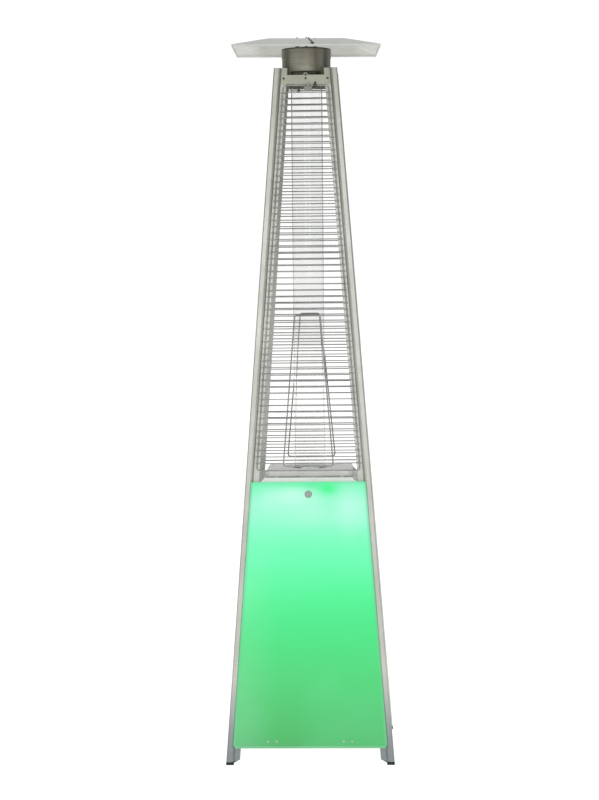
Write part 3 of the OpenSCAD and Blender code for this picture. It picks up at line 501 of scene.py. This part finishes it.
def rounded_path(P, R, steps=6):
    """A closed 2-D polygon with rounded corners."""
    out = []
    n = len(P)
    for i in range(n):
        a, c, b = Vector(P[i - 1]), Vector(P[i]), Vector(P[(i + 1) % n])
        u1, u2 = (a - c).normalized(), (b - c).normalized()
        phi = math.acos(max(-1, min(1, u1.dot(u2))))
        cut = R / math.tan(phi / 2)
        cen = c + (u1 + u2).normalized() * (R / math.sin(phi / 2))
        p1, p2 = c + u1 * cut, c + u2 * cut
        a1 = math.atan2(p1.y - cen.y, p1.x - cen.x)
        a2 = math.atan2(p2.y - cen.y, p2.x - cen.x)
        d = (a2 - a1 + math.pi) % (2 * math.pi) - math.pi
        for q in range(steps + 1):
            ang = a1 + d * q / steps
            out.append((cen.x + R * math.cos(ang), cen.y + R * math.sin(ang)))
    return out


# ------------------------------------------------------------------ posts
def arc(cx, cy, rx, ry, a0, a1, n):
    return [(cx + rx * math.cos(math.radians(a0 + (a1 - a0) * i / n)), cy + ry * math.sin(math.radians(a0 + (a1 - a0) * i / n))) for i in range(n + 1)]


def both(h):
    return h + [(b, a) for a, b in h[:0:-1]]


outer = both(arc(4.6, 4.6, 4.6, 4.6, 225, 270, 7) + [(8, 0)] + arc(13, 14, 11, 14, -90, -2, 18)
             + [(24, 13.2), (24.35, 13.8), (25.2, 14), (26.2, 14), (41.0, 14), (41.9, 14), (42.5, 14.4), (42.5, 15.6), (41.9, 16), (41.0, 16), (25.5, 16), (24.5, 16)])
inner = both([(2, 2)] + arc(13, 14, 9, 12, -90, -4, 12))
rot6 = Matrix.Rotation(math.atan(math.sqrt(2) * T), 3, Vector((-1, 1, 0)))


def lean_point(u, v, z):
    """Where the line of profile point (u, v) crosses height z, front-left post, mm."""
    p0 = rot6 @ Vector((u, v, 0)) + Vector((-HB, -HB, 0))
    d = rot6 @ Vector((0, 0, 1))
    return p0 + d * ((z - p0.z) / d.z)


def post(name, mx, my, mat):
    rings = []
    for prof in (outer, inner):
        lo, hi = [], []
        for u, v in prof:
            m = max(u, v)
            z = FOOT
            if m > 24.9:  # flange ends are cut at a slant
                z = FOOT + (m - 24.9) / (42.5 - 24.9) * 9.0
            lo.append(lean_point(u, v, z))
            hi.append(lean_point(u, v, POST_H))
        rings.append((lo, hi))
    verts, faces = [], []
    base = []
    levels = [0.0, 0.25, 0.5, 0.75, 1.0]
    for lo, hi in rings:
        b = []
        for t in levels:
            b.append(len(verts))
            verts += [a.lerp(c, t) for a, c in zip(lo, hi)]
        base.append(b)
    for b, (lo, hi), flip in zip(base, rings, (False, True)):
        n = len(lo)
        for L in range(len(levels) - 1):
            for i in range(n):
                j = (i + 1) % n
                faces.append((b[L] + i, b[L] + j, b[L + 1] + j, b[L + 1] + i))
    sgn = Vector((mx, my, 1))
    verts = [Vector((p.x * sgn.x, p.y * sgn.y, p.z)) * MM for p in verts]
    me = bpy.data.meshes.new(name)
    bm = bmesh.new()
    vs = [bm.verts.new(v) for v in verts]
    for f in faces:
        bm.faces.new([vs[i] for i in f])
    bm.verts.ensure_lookup_table()
    # end caps between the outer and the inner outline
    for level in (0, len(levels) - 1):
        edges = []
        for b, (lo, hi) in zip(base, rings):
            n = len(lo)
            for i in range(n):
                e = bm.edges.get((vs[b[level] + i], vs[b[level] + (i + 1) % n]))
                edges.append(e)
        bmesh.ops.triangle_fill(bm, edges=edges, use_beauty=True)
    bmesh.ops.recalc_face_normals(bm, faces=bm.faces)
    bm.to_mesh(me)
    bm.free()
    ob = bpy.data.objects.new(name, me)
    bpy.context.scene.collection.objects.link(ob)
    me.materials.append(mat)
    with bpy.context.temp_override(object=ob, active_object=ob, selected_objects=[ob], selected_editable_objects=[ob]):
        bpy.ops.object.shade_smooth_by_angle(angle=math.radians(35))
    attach(ob, "frame")
    return ob


for cad, mx, my in (("post_front_left", 1, 1), ("post_front_right", -1, 1), ("post_rear_left", 1, -1), ("post_rear_right", -1, -1)):
    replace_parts(post("v_" + cad, mx, my, MAT["post_metal" if my > 0 else "post_rear_painted_shading"]), cad)

# ------------------------------------------------------------------ wire guards
for k, nm in enumerate(("front", "right", "rear", "left")):
    M = Mesh()
    cv = 9.0
    s0, s1 = S(920.0), S(2132.0)
    ring = rounded_path([(-(W(s0) - 33), s0), (W(s0) - 33, s0), (W(s1) - 33, s1), (-(W(s1) - 33), s1)], 11.0, 7)
    M.tube([on_face(k, x, cv + 2.7, s) for x, s in ring], 2.0 * MM, 12, closed=True)
    for i in range(59):
        s = S(943.1 + i * 20.1)
        e = W(s) - 27.5
        w = 1.8
        pts = [(-e, s), (-e + 0.5, s), (-e * 0.5, s), (0, s), (e * 0.5, s), (e - 0.5, s), (e, s)]
        M.tube([on_face(k, x, cv, q) for x, q in pts], w * MM, 10)
    l0, l1 = S(931.0) + 2.25, S(1411.0) - 2.25
    h0, h1 = (162 - 4.5) / 2, ((72 if nm == "rear" else 84) - 4.5) / 2
    ring = rounded_path([(-h0, l0), (h0, l0), (h1, l1), (-h1, l1)], 9.0, 7)
    M.tube([on_face(k, x, cv + 3.4, s) for x, s in ring], 2.25 * MM, 12, closed=True)
    M.object("v_guard_" + nm, MAT["guard_wire"], "guard_wire", replaces=("guard_" + nm,), smooth_angle=50)

# ------------------------------------------------------------------ wing screws that hold the guards
M = Mesh()
wing = [(-2.4, 2141.0), (2.4, 2141.0), (3.2, 2136.5), (5.4, 2134.0), (5.4, 2127.5), (4.6, 2125.2), (1.8, 2125.2), (0.9, 2129.5),
        (-0.9, 2129.5), (-1.8, 2125.2), (-4.6, 2125.2), (-5.4, 2127.5), (-5.4, 2134.0), (-3.2, 2136.5)]
for k in range(4):
    nw = len(wing)
    front = [on_face(k, 30 + a, 4.4, S(b)) for a, b in wing]
    back = [on_face(k, 30 + a, 7.6, S(b)) for a, b in wing]
    M.add(front + back, [tuple(range(nw)), tuple(range(nw, 2 * nw))[::-1]] + [(i, (i + 1) % nw, nw + (i + 1) % nw, nw + i) for i in range(nw)])
    M.tube([on_face(k, 30, 7.4, S(2140)), on_face(k, 30, 11.9, S(2140))], 3.4 * MM, 20)
    M.tube([on_face(k, 30, 11.8, S(2140)), on_face(k, 30, 17.9, S(2140))], 2.5 * MM, 16)
M.object("v_thumb_screws", MAT["hook_dark"], "clip_metal", replaces=("thumb_screws",), smooth_angle=35)

# ------------------------------------------------------------------ reflector hood
HW, HF, HZ, RZ, HEM, HT = 231.0, 119.0, 2279.5, 2246.0, 6.0, 1.2
POSE = Matrix.Rotation(math.radians(1.6), 3, "Z") @ Matrix.Rotation(math.radians(0.35), 3, "Y") @ Matrix.Rotation(math.radians(1.9), 3, "X")


def leaned(x, y, z):
    p = POSE @ Vector((x, y, z - 2263))
    return Vector((p.x, p.y, p.z + 2263)) * MM


def square_ring(h, z, n=12):
    pts = []
    for a in range(4):
        for i in range(n):
            t = -h + 2 * h * i / n
            c = [(t, -h), (h, t), (-t, h), (-h, -t)][a]
            pts.append((c[0], c[1], z))
    return pts


prof = [(40, HZ), (HF - 3, HZ), (HF + 1.2, HZ - 0.9)]
for i in range(1, 6):
    f = i / 6
    prof.append((HF + (HW - HF) * f, HZ - (HZ - RZ - HEM) * f))
prof += [(HW - 1.6, RZ + HEM + 0.5), (HW - 0.3, RZ + HEM - 0.9), (HW, RZ + HEM - 2.4), (HW, RZ + 0.6), (HW - 0.5, RZ), (HW - 2.4, RZ), (HW - 2.9, RZ + 0.5),
         (HW - 2.9, RZ + HEM - 1.8)]
for i in range(5, 0, -1):
    f = i / 6
    prof.append((HF + (HW - HF) * f - 0.9, HZ - (HZ - RZ - HEM) * f - HT))
prof += [(HF - 3, HZ - HT), (40, HZ - HT)]
M = Mesh()
n = 48
rows = []
for h, z in prof:
    rows.append([leaned(*p) for p in square_ring(h, z)])
verts = [p for r in rows for p in r]
faces = []
for i in range(len(rows) - 1):
    for j in range(n):
        faces.append((i * n + j, i * n + (j + 1) % n, (i + 1) * n + (j + 1) % n, (i + 1) * n + j))
faces.append(tuple(range(n)))
faces.append(tuple((len(rows) - 1) * n + j for j in range(n))[::-1])
M.add(verts, faces)
M.object("v_reflector_hood", MAT["hood_metal"], "hood_metal", replaces=("reflector_hood",), smooth_angle=9)



def hood_top(x, y):
    """The upper surface of the hood above plan point (x, y) mm, before it is leaned."""
    d = max(abs(x), abs(y))
    return HZ if d <= HF else HZ - (HZ - RZ - HEM) * (d - HF) / (HW - HF)


# a bent wire hook that lies on the hood's front slope, its end turned back
M = Mesh()
hook = [(7.0, -108.0), (9.5, -135.0), (13.0, -165.0), (18.0, -190.0), (22.5, -214.0), (24.0, -221.0), (23.0, -225.5), (19.5, -226.5), (16.5, -224.5), (15.0, -220.5)]
pts = []
for (ax, ay), (bx, by) in zip(hook[:-1], hook[1:]):
    for q in (0.0, 0.5):
        px, py = ax + (bx - ax) * q, ay + (by - ay) * q
        pts.append(leaned(px, py, hood_top(px, py) + 1.85))
pts.append(leaned(hook[-1][0], hook[-1][1], hood_top(*hook[-1]) + 1.85))
M.tube(pts, 1.7 * MM, 10)
M.object("v_hood_hook", MAT["hook_dark"], "clip_metal", smooth_angle=60)

# ------------------------------------------------------------------ smooth shading of the CAD pieces that stay
for name, ob in N.items():
    with bpy.context.temp_override(object=ob, active_object=ob, selected_objects=[ob], selected_editable_objects=[ob]):
        bpy.ops.object.shade_smooth_by_angle(angle=math.radians(28))

# ------------------------------------------------------------------ stage, light, camera
me = bpy.data.meshes.new("floor")
q = 40.0
me.from_pydata([(-q, -q, 0), (q, -q, 0), (q, q, 0), (-q, q, 0)], [], [(0, 1, 2, 3)])
floor = bpy.data.objects.new("floor", me)
bpy.context.scene.collection.objects.link(floor)
g = G("floor_white")
g.set(Base_Color=g.mix(g.rng(g.noise(0.8), 0.3, 0.7), (0.50, 0.50, 0.50), (0.54, 0.54, 0.54)), Roughness=0.9, Emission_Color=(1, 1, 1, 1))
g.b.inputs["Emission Strength"].default_value = 0.90
g.b.inputs["Specular IOR Level"].default_value = 0.0
me.materials.append(g.m)

world = bpy.data.worlds.new("studio")
bpy.context.scene.world = world
world.use_nodes = True
wt = world.node_tree
wt.nodes.clear()
wo = wt.nodes.new("ShaderNodeOutputWorld")
seen = wt.nodes.new("ShaderNodeBackground")
seen.inputs["Color"].default_value = (1, 1, 1, 1)
seen.inputs["Strength"].default_value = 1.05
room = wt.nodes.new("ShaderNodeBackground")
room.inputs["Strength"].default_value = 1.0
tc = wt.nodes.new("ShaderNodeTexCoord")
sep = wt.nodes.new("ShaderNodeSeparateXYZ")
wt.links.new(tc.outputs["Generated"], sep.inputs[0])
ab = wt.nodes.new("ShaderNodeMath")
ab.operation = "ABSOLUTE"
wt.links.new(sep.outputs[0], ab.inputs[0])
cr = wt.nodes.new("ShaderNodeValToRGB")
stops = [(0.0, 0.76), (0.22, 0.72), (0.45, 0.44), (0.68, 0.24), (0.86, 0.20), (1.0, 0.30)]
while len(cr.color_ramp.elements) < len(stops):
    cr.color_ramp.elements.new(1.0)
for e, (q, v) in zip(cr.color_ramp.elements, stops):
    e.position = q
    e.color = (v, v, v * 0.985, 1)
wt.links.new(ab.outputs[0], cr.inputs["Fac"])
# an overhead softbox brightens whatever faces up
up = wt.nodes.new("ShaderNodeMapRange")
up.interpolation_type = "SMOOTHSTEP"
up.inputs["From Min"].default_value = 0.35
up.inputs["From Max"].default_value = 0.85
wt.links.new(sep.outputs[2], up.inputs["Value"])
um = wt.nodes.new("ShaderNodeMix")
um.data_type = "RGBA"
um.inputs[7].default_value = (0.8, 0.8, 0.79, 1)
wt.links.new(up.outputs["Result"], um.inputs[0])
wt.links.new(cr.outputs["Color"], um.inputs[6])
wt.links.new(um.outputs[2], room.inputs["Color"])
lp = wt.nodes.new("ShaderNodeLightPath")
mx = wt.nodes.new("ShaderNodeMath")
mx.operation = "MAXIMUM"
wt.links.new(lp.outputs["Is Camera Ray"], mx.inputs[0])
wt.links.new(lp.outputs["Is Transmission Ray"], mx.inputs[1])
ms = wt.nodes.new("ShaderNodeMixShader")
wt.links.new(mx.outputs[0], ms.inputs[0])
wt.links.new(room.outputs[0], ms.inputs[1])
wt.links.new(seen.outputs[0], ms.inputs[2])
wt.links.new(ms.outputs[0], wo.inputs["Surface"])


def area(name, loc, target, size, power, col=(1, 1, 1)):
    d = bpy.data.lights.new(name, "AREA")
    d.shape = "RECTANGLE"
    d.size, d.size_y = size
    d.energy = power
    d.color = col
    ob = bpy.data.objects.new(name, d)
    ob.location = loc
    ob.rotation_euler = (Vector(target) - Vector(loc)).to_track_quat("-Z", "Y").to_euler()
    bpy.context.scene.collection.objects.link(ob)
    ob.visible_camera = False
    return ob


area("key_left", (-1.7, -7.2, 3.2), (0, 0, 1.2), (2.6, 3.0), 48)
area("key_right", (2.0, -7.0, 3.0), (0, 0, 1.2), (2.6, 3.0), 48)

cam = bpy.data.cameras.new("camera")
cam_ob = bpy.data.objects.new("camera", cam)
cam.sensor_width = 36.0
cam.sensor_fit = "AUTO"
cam.lens = 2015.0 * 36.0 / 800.0
cam.clip_end = 200
cam_ob.location = (0.1928, -6.497, 1.518)
R = Matrix.Rotation(math.radians(1.983), 4, "Z") @ Matrix.Rotation(math.radians(90 - 3.41), 4, "X") @ Matrix.Rotation(math.radians(-0.549), 4, "Z")
cam_ob.rotation_euler = R.to_euler()
bpy.context.scene.collection.objects.link(cam_ob)
bpy.context.scene.camera = cam_ob
bpy.context.scene.view_settings.view_transform = "Standard"
bpy.context.scene.view_settings.look = "None"
bpy.context.scene.view_settings.exposure = 0.0
bpy.context.scene.view_settings.gamma = 1.0
